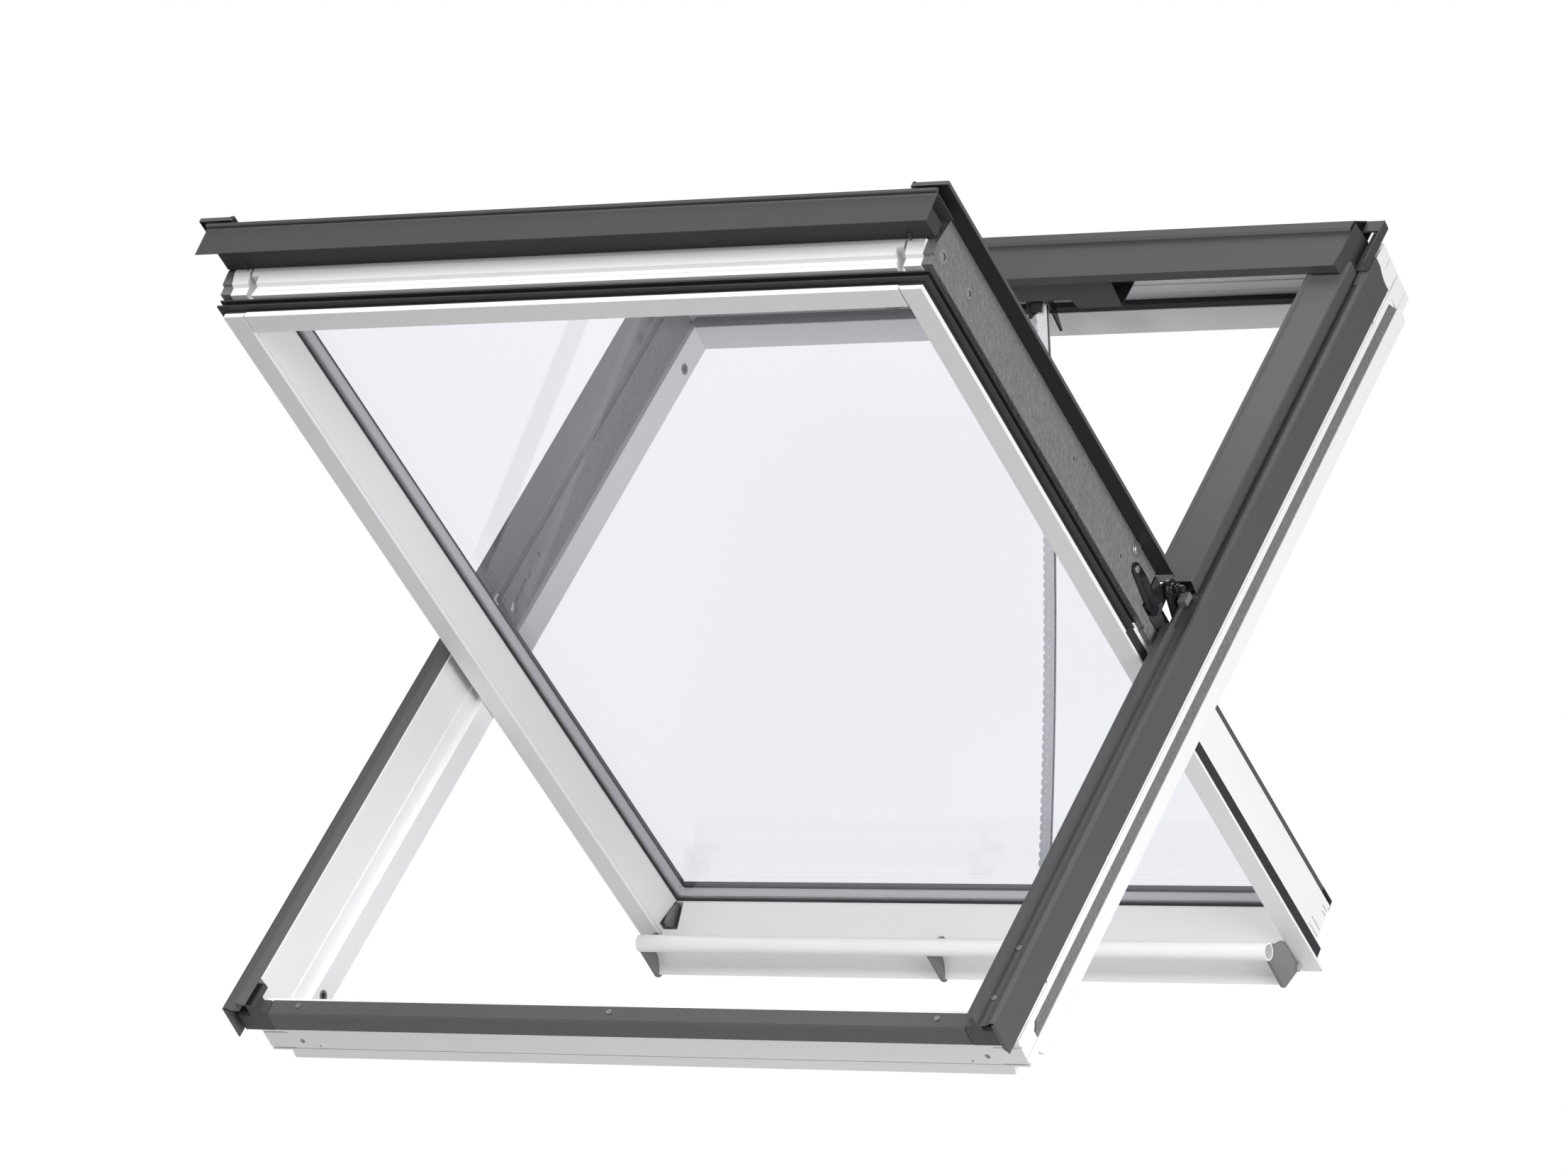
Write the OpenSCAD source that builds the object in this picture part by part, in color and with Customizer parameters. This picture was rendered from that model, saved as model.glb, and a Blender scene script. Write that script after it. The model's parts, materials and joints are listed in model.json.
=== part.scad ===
// Centre-pivot roof window with a chain opener, shown open in a pitched roof.
// Frame members are drawn in the frame's own plane: x across, s up the slope from the
// middle of the frame, d outwards from the room face. Sash members use the same three
// directions in the sash's plane, with d counted from the sash's room face.
// The origin is the middle of the frame's room-side plane.

/* [Window] */
// Width of the frame over its side members
frame_w = 1140; // [780:1:1340]
// Length of the frame up the slope
frame_l = 1398; // [980:1:1600]
// Depth of the white frame members
frame_depth = 99; // [90:1:120]
// Pitch of the roof, in degrees
pitch = 45; // [30:1:55]
// Opening angle of the sash, in degrees
opening = 84.8; // [0:0.1:90]

/* [Frame] */
// Width of a side member at the room face
side_t = 46.4; // [40:0.2:60]
// Width of the ledge that the sash seals against
ledge_w = 12.4; // [8:0.2:16]
// Height of the ledge in the lower half
ledge_d = 33; // [28:1:38]
// Height of the ledge in the upper half
upper_ledge_d = 41; // [36:1:44]
// Thickness of the aluminium sheet
sheet_t = 1.5; // [1:0.1:2.5]

/* [Sash] */
// Gap between the sash and the frame's side walls
side_gap = 1.6; // [1:0.1:4]
// Width of the sash's room face on the sides and the bottom
face_w = 30; // [24:1:40]
// Depth of the white sash members
sash_depth = 80; // [76:1:90]
// Thickness of one glass pane
pane_t = 4; // [3:0.5:6]
// Width of the spacer between the panes
spacer_d = 16; // [12:1:16]

/* [Pivot] */
// Height of the pivot axis above the frame's room face
pivot_d = 135; // [130:1:140]
// Radius of the pivot pin
pin_r = 5; // [4:0.5:6]
// Radial clearance of the pivot pin in its plate
pin_clear = 0.06; // [0.03:0.01:0.1]

/* [Hidden] */
$fn = 48;

white = [0.93, 0.93, 0.93];
dark = [0.33, 0.33, 0.34];
black = [0.12, 0.12, 0.12];
grey = [0.5, 0.5, 0.5];
steel = [0.7, 0.7, 0.72];
eps = 0.01;
fit = 0.05;

// ---- frame, derived ----
half_w = frame_w / 2;
half_l = frame_l / 2;
wall_x = half_w - side_t;
ledge_x = wall_x + ledge_w;
upper_wall_x = ledge_x + 2;
step_d = ledge_d + 20;
rail_t = 49;
top_wall_s = half_l - rail_t;
top_ledge_s = top_wall_s + 12;
bottom_wall_s = -half_l + rail_t;
bottom_ledge_s = -half_l + 14.5;
bottom_lip_s = -half_l + 6.5;
bottom_rail_d = 90;
pad_top_d = 95;
pad_x = wall_x + 8.4;
strip_d = [13.7, 33];
strip_cut = 3;
groove_d = 43;
flange_h = 15.5;
flange_t = 9;
screw_hole_r = 2.6;
side_screw_s = half_l - 99;

// ---- dark cladding on the frame ----
clad_x = half_w + 8.5;
clad_top_d = frame_depth + 12.5;
clad_low_d = 58;
clad_end_s = -half_l - 32.5;
clad_split_s = half_l - 96;
corner_plate_end_s = half_l - 46;
lip_x = wall_x + 19.5;
clad_floor_x = lip_x + 19.5;
cover_d = 132;
cover_in_x = wall_x - 20.5;
cover_out_x = clad_floor_x - 1.5;
cover_start_s = 18;
casing_front_s = half_l - 99;
casing_back_s = half_l + 14;
casing_d = 149;
casing_half_x = half_w - 20;
gutter_screw = [clad_x - 8, casing_front_s + 44];
front_s = -half_l - 21;

// ---- sash, derived ----
sash_x = wall_x - side_gap;
face_x = sash_x - face_w;
sash_top_s = top_wall_s + 7;
sash_bottom_s = -half_l + 42;
pivot_s = 8.5;
pivot_h = 100;
rebate_d = 50;
rebate_x = face_x - 4;
reveal_x = face_x - 15;
gasket_t = 2;
spacer_w = 6;
glass_d = rebate_d + gasket_t;
glass_x = rebate_x - 1.5;
unit_t = 2 * pane_t + spacer_d;
top_face_in_s = sash_top_s - 58;
top_body_s = sash_top_s - 38;
top_rebate_s = top_body_s - 22;
top_reveal_s = top_rebate_s - 12;
bottom_face_in_s = sash_bottom_s + face_w;
bottom_rebate_s = bottom_face_in_s + 10;
bottom_reveal_s = bottom_face_in_s + 20;
seal_d = [6.5, 25];
seal_cut = 6;
sash_pad_x = sash_x + 10.5;
sash_pad_in_x = sash_x - 5;
sash_pad_d = [28, 99.4];
sash_cover_d = 101;
sash_cover_x = half_w - 9.5;
sash_cover_in_x = face_x + 16;
sash_cover_end_s = sash_bottom_s - 80;
cover_gap_s = -20;
drip_x = half_w - 23.5;
apron_s = sash_bottom_s - 73;
apron_d = [43.6, 87];
under_d = 61.5;

// ---- hinge ----
plate_t = 3;
sash_plate_x = sash_pad_x + 0.3;
frame_plate_x = upper_wall_x + 0.2;
frame_plate_t = 4;
plate_head_r = 14;

// ---- opener ----
box_x = [-155, 198];
box_step_x = 124;
box_front_s = half_l - 86;
box_d = [96, 126];
box_low_d = 81;
guide_x = [58, 75];
hook_x = 84;
hook_t = 3.5;
hook_tip = [box_front_s + 1, 40];
chain_from = [70, half_l - 66, 94.9];
chain_to = [81, sash_top_s - 11.8, 50];
chain_w = 17;
chain_t = 8;
chain_bow = 13;
notch_x = [guide_x[0] - 9, hook_x + hook_t + 6];

// ---- vent flap and control bar ----
bar_half_x = sash_x - 29;
bar_s = sash_top_s - 88;
bar_d = -38;
bar_r = 12;
flap_low = [sash_top_s - 29, -46];
rod_s = sash_top_s - 17;
rod_d = -7;
rod_r = 3;
bracket_t = 5;
bracket_xs = [-bar_half_x, -32, bar_half_x - bracket_t];

// ---- barrel bolt ----
bolt_s = sash_top_s - 51;
grip_s = bolt_s - 15;
bolt_d = 29;
bolt_r = 4;
bolt_travel = 12;
bush_s = [half_l - 109, -half_l + 80];
bush_d = 17;
bush_r = 8;
rim_x = ledge_x + 13.6;
rim_d = frame_depth + 19.5;
rim_end_s = -46;
bracket_top_s = -half_l + 16;

// ================= helpers =================
// Places frame coordinates (x, s, d) in the roof.
module on_frame() { rotate([pitch, 0, 0]) children(); }

// Places sash coordinates (x, s, d), turned open about the pivot axis.
module on_sash() {
    rotate([pitch, 0, 0]) translate([0, 0, pivot_d]) rotate([-opening, 0, 0])
        translate([0, -pivot_s, -pivot_h]) children();
}

// Extrudes an outline in (x, d) from s0 to s1.
module along_s(s0, s1) { translate([0, s1, 0]) rotate([90, 0, 0]) linear_extrude(s1 - s0) children(); }

// Extrudes an outline in (s, d) from x0 to x1.
module along_x(x0, x1) { translate([x0, 0, 0]) rotate([90, 0, 90]) linear_extrude(x1 - x0) children(); }

// Extrudes an outline in (x, s) from d0 to d1.
module along_d(d0, d1) { translate([0, 0, d0]) linear_extrude(d1 - d0) children(); }

// A box between two corners.
module span(a, b) { translate(a) cube(b - a); }

module both_sides() {
    children();
    mirror([1, 0, 0]) children();
}

// A cylinder along x from x0 to x1, centred at (s, d).
module bar_x(x0, x1, s, d, r) { translate([x0, s, d]) rotate([0, 90, 0]) cylinder(h = x1 - x0, r = r); }

// Unit normal to the left of the step from a to b.
function left_of(a, b) = let (v = b - a, n = norm(v)) [-v[1] / n, v[0] / n];

// Offset of a corner of a folded sheet, along its mitre.
function fold(path, i) =
    i == 0 ? left_of(path[0], path[1])
    : i == len(path) - 1 ? left_of(path[i - 1], path[i])
    : let (a = left_of(path[i - 1], path[i]), b = left_of(path[i], path[i + 1])) (a + b) / (1 + a * b);

// Outline of a folded sheet of thickness t to the left of a path.
function sheet(path, t) = concat(
    path,
    [for (i = [len(path) - 1 : -1 : 0]) path[i] + t * fold(path, i)]
);

// ================= frame =================
// Outline of the right side member, with its ledge at height ledge.
module side_outline(ledge) {
    polygon([
        [wall_x, 0], [half_w, 0], [half_w, frame_depth], [upper_wall_x, frame_depth],
        [upper_wall_x, step_d], [ledge_x, step_d - 2], [ledge_x, ledge], [wall_x, ledge]
    ]);
}

// Grooves and seams in the outer face of a side member.
module side_grooves() {
    strip_half_s = half_l - 36;
    along_s(-strip_half_s, strip_half_s) translate([half_w - strip_cut, strip_d[0]])
        square([strip_cut + 1, strip_d[1] - strip_d[0]]);
    for (line = [strip_d[0] - 1.2, groove_d])
        along_s(-half_l - 1, half_l + 1) translate([half_w - 1.5, line]) square([3, 1]);
    for (side = [-1, 1]) {
        span([half_w - 3, side > 0 ? half_l - 36 : -half_l - 1, groove_d],
             [half_w + 1, side > 0 ? half_l + 1 : -half_l + 36, groove_d + 2.4]);
        for (seam = [[72.5, 21], [frame_depth - 1, 13]])
            span([half_w - 2, side > 0 ? half_l - seam[1] : -half_l - 1, seam[0]],
                 [half_w + 1, side > 0 ? half_l + 1 : -half_l + seam[1], seam[0] + 1.2]);
        translate([half_w - 22, side * side_screw_s, 47]) rotate([0, 90, 0]) cylinder(h = 30, r = screw_hole_r);
    }
}

// Slots and holes in the lower end face, near the corner.
module end_slots() {
    span([half_w - 40, -half_l - 1, 32], [half_w + 1, -half_l + 3, 34.2]);
    span([-half_w - 1, -half_l - 1, 2.5], [half_w + 1, -half_l + 1.6, 3.7]);
    span([half_w - 38, -half_l - 1, 2.5], [half_w + 1, -half_l + 3, 5]);
}

// Pocket for the hinge plate in the inner wall.
module hinge_pocket() {
    span([upper_wall_x - 1, -38, 58], [upper_wall_x + frame_plate_t + 0.4, 38, frame_depth + 1]);
}

module side_member_right() {
    difference() {
        union() {
            along_s(-half_l, 0) side_outline(ledge_d);
            along_s(0, half_l) side_outline(upper_ledge_d);
            along_s(bracket_top_s + 0.4, rim_end_s - 0.3) polygon([
                [ledge_x + 1.8, frame_depth - 1], [rim_x, frame_depth - 1], [rim_x, rim_d], [ledge_x + 1.8, rim_d - 3.5]
            ]);
        }
        side_grooves();
        end_slots();
        hinge_pocket();
        for (s = bush_s) bush_seat(s);
    }
}

// Seat of the bush that the barrel bolt enters.
module bush_seat(s) { bar_x(wall_x - 1, wall_x + 14, s, bush_d, bush_r); }

module frame_side_right() { color(white) on_frame() side_member_right(); }
module frame_side_left() { color(white) on_frame() mirror([1, 0, 0]) side_member_right(); }

// Cuts a rail's ends to the side members.
module between_sides() {
    difference() {
        children();
        both_sides() {
            along_s(-half_l - 1, 0) offset_side(ledge_d);
            along_s(0, half_l + 1) offset_side(upper_ledge_d);
        }
    }
}
module offset_side(ledge) { translate([-fit, 0]) side_outline_open(ledge); }
module side_outline_open(ledge) {
    polygon([
        [wall_x, -1], [half_w + 9, -1], [half_w + 9, frame_depth + 1], [upper_wall_x, frame_depth + 1],
        [upper_wall_x, step_d], [ledge_x, step_d - 2], [ledge_x, ledge], [wall_x, ledge]
    ]);
}

module frame_top_rail() {
    color(white) on_frame()
        between_sides() along_x(-upper_wall_x - 2, upper_wall_x + 2) polygon([
            [top_wall_s, 0], [half_l, 0], [half_l, frame_depth], [top_ledge_s, frame_depth],
            [top_ledge_s, 80], [top_ledge_s + 1.5, 80], [top_ledge_s + 1.5, 74], [top_ledge_s, 74],
            [top_ledge_s, 60], [top_ledge_s + 2, 59], [top_ledge_s, 58],
            [top_ledge_s, upper_ledge_d], [top_wall_s, upper_ledge_d]
        ]);
}

module frame_bottom_rail() {
    color(white) on_frame() difference() {
        between_sides() along_x(-upper_wall_x - 2, upper_wall_x + 2) polygon([
            [bottom_wall_s, 0], [bottom_wall_s, ledge_d], [bottom_ledge_s, ledge_d],
            [bottom_ledge_s, 62], [bottom_lip_s, 70], [bottom_lip_s, bottom_rail_d],
            [-half_l, bottom_rail_d], [-half_l, 0]
        ]);
        end_slots();
        both_sides() {
            translate([half_w - 54.5, -half_l + 15, 17]) rotate([90, 0, 0]) cylinder(h = 20, r = 4);
            for (h = [[-32, 19], [-79, 8]]) if (half_w + h[0] < upper_wall_x)
                translate([half_w + h[0], -half_l + 15, h[1]]) rotate([90, 0, 0]) cylinder(h = 20, r = 1.8);
        }
    }
}

// Dark insulation strips let into the outer sides.
module frame_side_strips() {
    strip_half_s = half_l - 36.4;
    color(grey) on_frame() both_sides() difference() {
        along_s(-strip_half_s, strip_half_s) translate([half_w - strip_cut + fit, strip_d[0] + 0.3])
            square([strip_cut - 0.3, strip_d[1] - strip_d[0] - 0.6]);
        translate([half_w - 5, -strip_half_s, strip_d[1] + 2]) rotate([0, 90, 0]) cylinder(h = 10, r = 13);
        translate([half_w - 5, strip_half_s, strip_d[0]]) rotate([28, 0, 0]) cube([10, 20, 30]);
    }
}

// White strips that stand into the room and hold the lining.
module lining_flanges() {
    side_end_s = half_l - 27;
    rail_end_x = half_w - 27;
    color(white) on_frame() {
        both_sides() along_x(half_w - flange_t, half_w - 0.5) polygon([
            [-side_end_s, 0], [side_end_s, 0], [side_end_s, -flange_h], [-side_end_s + 8, -flange_h]
        ]);
        for (side = [-1, 1]) translate([0, side * (half_l - flange_t / 2 - 0.5), 0])
            rotate([90, 0, 0]) translate([0, 0, -flange_t / 2]) linear_extrude(flange_t) polygon([
                [-rail_end_x + 2, 0], [rail_end_x + 4, 0], [rail_end_x, -flange_h], [-rail_end_x, -flange_h]
            ]);
    }
}

// Gasket on the ledge of the top rail.
module frame_top_seal() {
    color(black) on_frame() along_x(-wall_x + 2, wall_x - 2)
        translate([top_wall_s + 1.5, upper_ledge_d]) square([top_ledge_s - top_wall_s - 1.6, 9]);
}

// Rough insulation pads on the upper half of the inner walls, with a pocket by the pivot.
module frame_wall_pads() {
    color(grey) on_frame() both_sides() difference() {
        union() {
            along_s(44, top_ledge_s - 1) translate([pad_x, upper_ledge_d + 0.1])
                square([ledge_x - pad_x - fit, pad_top_d - upper_ledge_d]);
            along_s(44, half_l - 91) translate([pad_x - 2.4, 70]) square([2.5, pad_top_d - 70]);
        }
        bar_x(pad_x - 4, ledge_x + 1, 62, 64, 9);
        bar_x(pad_x - 4, ledge_x + 1, 118, 70, 5);
        bar_x(pad_x - 4, ledge_x + 1, 152, 76, 4);
        hull() for (p = [[74, 68], [104, 72]]) bar_x(pad_x - 4, ledge_x + 1, p[0], p[1], 4);
    }
}

// Bushes for the barrel bolt in the left and right walls.
module frame_bushes() {
    color(grey) on_frame() both_sides() for (s = bush_s) difference() {
        bar_x(wall_x - 0.6, wall_x + 12, s, bush_d, bush_r - fit);
        bar_x(wall_x - 2, wall_x + 10, s, bush_d, bolt_r + 0.8);
    }
}

// ================= dark cladding on the frame =================
module side_cladding_outline() {
    polygon(sheet([
        [lip_x, frame_depth + fit], [lip_x, clad_top_d], [lip_x + 5, clad_top_d + 1.5], [lip_x + 6.5, clad_top_d - 4],
        [clad_floor_x, clad_top_d - 4], [clad_x - 6, clad_top_d + 0.5], [clad_x - 1.5, clad_top_d],
        [clad_x, clad_top_d - 1.5], [clad_x, clad_low_d]
    ], -sheet_t));
}

// Lower stretch, with a taller lip over the white rim.
module lower_cladding_outline() {
    polygon(sheet([
        [ledge_x + 3.2, rim_d - 1.2], [rim_x - 0.3, rim_d + 1.75], [rim_x + 3.6, rim_d + 2.5],
        [rim_x + 5, clad_top_d - 4], [clad_floor_x, clad_top_d - 4], [clad_x - 6, clad_top_d + 0.5],
        [clad_x - 1.5, clad_top_d], [clad_x, clad_top_d - 1.5], [clad_x, clad_low_d]
    ], -sheet_t));
}

module side_cladding_right() {
    difference() {
        union() {
            along_s(clad_end_s, rim_end_s) lower_cladding_outline();
            along_s(rim_end_s - 0.1, clad_split_s) side_cladding_outline();
        }
        hull() for (p = [[0, clad_low_d - 6], [0, clad_low_d], [-26, clad_low_d - 6]])
            bar_x(clad_x - 8, clad_x + 4, clad_split_s + p[0] - 1000, p[1], 1);
        for (s = [-half_l + 12, -half_l + 96]) translate([clad_floor_x - 4, s, clad_top_d - 9]) cylinder(h = 8, r = 2.2);
    }
    // Turned-in hem at the lower end.
    along_s(clad_end_s, clad_end_s + 3) polygon([
        [clad_x - sheet_t, clad_low_d + 2], [clad_x - sheet_t, clad_top_d - 3],
        [clad_x - 6, clad_top_d - 5], [clad_x - 6, clad_low_d + 8]
    ]);
}

module frame_side_cladding_right() { color(dark) on_frame() side_cladding_right(); }
module frame_side_cladding_left() { color(dark) on_frame() mirror([1, 0, 0]) side_cladding_right(); }

// End pieces of the side cladding, cut in a curve that leaves the white corner bare.
module frame_corner_plates() {
    color(dark) on_frame() both_sides() difference() {
        along_s(clad_split_s + 0.4, corner_plate_end_s + 4) polygon(sheet([
            [clad_x - 15, clad_top_d - 0.4], [clad_x - 1.5, clad_top_d - 0.4],
            [clad_x, clad_top_d - 1.5], [clad_x, clad_low_d]
        ], -sheet_t));
        translate([clad_x - 4, corner_plate_end_s + 58, clad_low_d + 10]) rotate([0, 90, 0])
            cylinder(h = 8, r = 60, $fn = 96);
        gutter_screw_hole();
    }
}

module gutter_screw_hole() { translate([gutter_screw[0], gutter_screw[1], clad_top_d - 5]) cylinder(h = 12, r = 2.1); }

// Folded sheet over the bottom rail.
module frame_bottom_cladding() {
    end_x = wall_x - 0.5;
    color(dark) on_frame() difference() {
        along_x(-end_x, end_x) polygon(sheet([
            [-half_l + 1.5, bottom_rail_d + fit], [-half_l - 1, bottom_rail_d + fit],
            [front_s + 2, bottom_rail_d - 2 + fit], [front_s, bottom_rail_d - 4],
            [front_s, 63], [front_s + 8, 62]
        ], -sheet_t));
        for (x = [-1, 0, 1]) translate([x * (wall_x - 44), -half_l - 7.5, bottom_rail_d - 8]) cylinder(h = 12, r = 2.2);
    }
}

// Black corner brackets where the bottom cladding meets the side cladding.
module frame_corner_brackets() {
    inner_x = wall_x + 0.3;
    color(black) on_frame() both_sides() {
        along_x(inner_x, clad_x - sheet_t - 6.5) polygon([
            [-half_l - 0.2, bottom_rail_d + 3.5], [front_s + 2, bottom_rail_d + 1], [front_s - 1.5, bottom_rail_d - 3],
            [front_s - 1.5, 61], [front_s + 7, 60], [-half_l - 0.2, 66]
        ]);
        along_x(upper_wall_x - 2, rim_x) polygon([
            [bracket_top_s, frame_depth + 0.2], [bracket_top_s, frame_depth + 8], [front_s - 1.5, frame_depth + 8],
            [front_s - 1.5, bottom_rail_d - 3], [-half_l - 0.2, bottom_rail_d], [-half_l - 0.2, frame_depth + 0.2]
        ]);
    }
}

// Raised cover over the upper half of the sash.
module upper_cover() {
    foot_x = cover_out_x - 3;
    along_s(cover_start_s, casing_front_s + 26) union() {
        polygon(sheet([
            [foot_x - 4, clad_top_d - 4 + fit], [cover_out_x - 1, clad_top_d - 3.6],
            [cover_out_x + 0.5, cover_d - 1.5], [cover_out_x - 1, cover_d],
            [cover_in_x + 9, cover_d], [cover_in_x + 7, cover_d + 2.5], [cover_in_x + 2, cover_d + 2.5],
            [cover_in_x, cover_d], [cover_in_x, cover_d - 7]
        ], sheet_t));
    }
}
module upper_cover_right() { color(dark) on_frame() upper_cover(); }
module upper_cover_left() { color(dark) on_frame() mirror([1, 0, 0]) upper_cover(); }

// Casing over the top rail.
module top_casing() {
    color(dark) on_frame() along_x(-casing_half_x, casing_half_x) polygon(sheet([
        [casing_front_s + 5, cover_d + 3.4], [casing_front_s, cover_d + 3.4],
        [casing_front_s, casing_d], [casing_front_s + 66, casing_d - 3],
        [casing_front_s + 68, casing_d + 1], [casing_front_s + 72, casing_d + 3],
        [casing_front_s + 86, casing_d + 2], [casing_back_s, 127], [casing_back_s, frame_depth + 8],
        [half_l - 4, frame_depth + 8], [half_l - 4, frame_depth + fit]
    ], -sheet_t));
}

// End pieces of the top casing: a sloping end wall, a gutter and an outer strip.
module top_casing_ends() {
    out_x = casing_half_x + 8;
    rear = casing_back_s - 1;
    color(dark) on_frame() both_sides() {
        difference() {
            hull() {
                along_s(casing_front_s + 1, casing_front_s + 84) polygon([
                    [casing_half_x + 0.2, cover_d + 6], [casing_half_x + 0.2, casing_d - 1.5],
                    [casing_half_x + 1, casing_d - 1.5], [out_x, clad_top_d + 2], [out_x - 2, clad_top_d + 2]
                ]);
                along_s(casing_front_s + 84, casing_front_s + 85) polygon([
                    [casing_half_x + 0.2, cover_d + 6], [casing_half_x + 0.2, casing_d - 1.5], [casing_half_x + 1, casing_d - 1.5]
                ]);
            }
            along_s(casing_front_s - 5, casing_front_s + 27) polygon([
                [cover_in_x - 4, clad_top_d - 4], [cover_out_x + 1.5, clad_top_d - 4],
                [cover_out_x + 1.5, cover_d + 1], [cover_in_x - 4, cover_d + 1]
            ]);
            translate([out_x - 1, casing_front_s + 40, casing_d - 12]) rotate([0, 90, 0]) cylinder(h = 12, r = 14);
        }
        difference() {
            along_s(casing_front_s + 28, rear) polygon(sheet([
                [out_x + 1, clad_top_d + 1.4], [clad_x - sheet_t, clad_top_d + 1.4],
                [clad_x - sheet_t, 127.5]
            ], sheet_t));
            gutter_screw_hole();
        }
        along_s(rear - 20, rear) polygon([
            [casing_half_x + 0.2, 124], [casing_half_x + 0.2, 127], [clad_x - sheet_t - 2, 127], [clad_x - sheet_t - 2, 124]
        ]);
    }
}

// Screws that hold the cladding: one group of separate screws.
module screw(p, r, h) {
    translate(p) difference() {
        union() {
            cylinder(h = h, r = r * 1.9);
            translate([0, 0, -4]) cylinder(h = 4.2, r = r);
        }
        translate([-r * 1.4, -0.5, h - 0.7]) cube([r * 2.8, 1, 1]);
        translate([-0.5, -r * 1.4, h - 0.7]) cube([1, r * 2.8, 1]);
    }
}

module cladding_screws() {
    color(steel) on_frame() {
        for (x = [-1, 0, 1]) screw([x * (wall_x - 44), -half_l - 7.5, bottom_rail_d + 1.4], 2, 1.2);
        both_sides() {
            for (s = [-half_l + 12, -half_l + 96]) screw([clad_floor_x - 4, s, clad_top_d - 3.9], 2, 1.6);
            screw([gutter_screw[0], gutter_screw[1], clad_top_d + 2.95], 1.9, 2);
        }
    }
}

// ================= hinge =================
// Plate on the frame: a tongue from its pocket up to the pivot.
module frame_hinge_plates() {
    color(black) on_frame() both_sides() difference() {
        union() {
            hull() {
                bar_x(frame_plate_x, frame_plate_x + frame_plate_t, 0, pivot_d, plate_head_r);
                span([frame_plate_x, -24, frame_depth - 2], [frame_plate_x + frame_plate_t, 24, frame_depth - 1]);
            }
            span([frame_plate_x, -37, 58.3], [frame_plate_x + frame_plate_t, 37, frame_depth - 1]);
            hull() for (p = [[-19, 70], [-12, 112]]) bar_x(frame_plate_x - 1.2, frame_plate_x + 1, p[0], p[1], 3);
            bar_x(frame_plate_x - 1.2, frame_plate_x + 1, 20, 88, 6);
        }
        bar_x(frame_plate_x - 3, frame_plate_x + 9, 0, pivot_d, pin_r + pin_clear);
        for (s = [-28, 28]) bar_x(frame_plate_x - 3, frame_plate_x + 9, s, 80, 2.6);
        bar_x(frame_plate_x - 3, frame_plate_x + 9, 6, 106, 4);
    }
}

module hinge_screws() {
    color(steel) on_frame() both_sides() for (s = [-28, 28]) union() {
        bar_x(frame_plate_x - 1.4, frame_plate_x - 0.05, s, 80, 4.6);
        bar_x(frame_plate_x - 0.1, frame_plate_x + frame_plate_t + 0.1, s, 80, 2.5);
    }
}

// Curved arm on the sash with the pivot pin.
module sash_hinge_plates() {
    out_x = sash_plate_x + plate_t;
    color(black) on_sash() both_sides() {
        difference() {
            union() {
                hull() for (p = [[-67, 68, 9], [-42, 66, 12]]) bar_x(sash_plate_x, out_x, p[0], p[1], p[2]);
                hull() for (p = [[-42, 66, 12], [-14, 61, 13]]) bar_x(sash_plate_x, out_x, p[0], p[1], p[2]);
                hull() for (p = [[-14, 61, 13], [0, 60, 9]]) bar_x(sash_plate_x, out_x, p[0], p[1], p[2]);
                hull() for (p = [[-10, 68, 9], [pivot_s, pivot_h, 11]]) bar_x(sash_plate_x, out_x, p[0], p[1], p[2]);
            }
            hull() for (p = [[-48, 63, 2.6], [-30, 59, 2.6]]) bar_x(out_x - 1.2, out_x + 1, p[0], p[1], p[2]);
            hull() for (p = [[-30, 59, 2.6], [-8, 56, 2.6]]) bar_x(out_x - 1.2, out_x + 1, p[0], p[1], p[2]);
        }
        bar_x(out_x - 0.1, frame_plate_x + frame_plate_t + 0.8, pivot_s, pivot_h, pin_r);
    }
}

// Steel stop buttons on the sash, beside the hinge arms.
module hinge_stops() {
    color(steel) on_sash() both_sides() {
        bar_x(sash_plate_x + plate_t + fit, sash_plate_x + plate_t + 1.6, -67, 68, 5);
        bar_x(sash_pad_x + fit, sash_pad_x + 3, -81, 88.5, 10);
        bar_x(sash_pad_x + 2.9, sash_pad_x + 4, -81, 88.5, 6);
    }
}

// ================= chain opener =================
// Housing of the opener in the top rail, open at its right end.
module chain_actuator() {
    color(dark) on_frame() difference() {
        along_s(box_front_s, top_ledge_s - 0.2) polygon([
            [box_x[0], box_d[0]], [box_step_x, box_d[0]], [box_step_x + 6, box_low_d], [box_x[1], box_low_d],
            [box_x[1], box_d[1]], [box_x[0], box_d[1]]
        ]);
        span([box_step_x + 12, box_front_s + sheet_t, box_low_d + sheet_t],
             [box_x[1] + 1, top_ledge_s - 4, box_d[1] - sheet_t]);
    }
}

// Cable connector at the left end of the housing.
module connection_box() {
    color(black) on_frame() along_x(box_x[0] - 15, box_x[0] - fit) polygon([
        [box_front_s + 2, 90], [box_front_s + 2, 116], [top_ledge_s - 0.2, 116], [top_ledge_s - 0.2, 78],
        [box_front_s + 20, 78]
    ]);
}

// Guide where the chain leaves the housing, with its pointed catch.
module chain_guide() {
    top_d = box_d[0] - fit;
    s = box_front_s;
    color(black) on_frame() {
        span([guide_x[0] - 7, s + 7, top_d - 2.5], [hook_x + hook_t, s + 11, top_d]);
        along_x(guide_x[0], guide_x[1]) polygon([[s + 13.5, top_d], [s - 4, 80.2], [s - 5.4, 81.6], [s + 10.6, top_d]]);
        along_x(guide_x[0] - 7, guide_x[0] - 3) polygon([[s + 5, top_d], [s + 27, top_d], [s + 15, 66], [s - 6, 70]]);
        along_x(hook_x, hook_x + hook_t) polygon([
            [s + 1, top_d], [s + 16, top_d], [s + 11, 70], hook_tip + [2, 0], hook_tip
        ]);
        bar_x(hook_x - 3, hook_x + 1, s + 6, 88, 3.5);
    }
}

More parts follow.
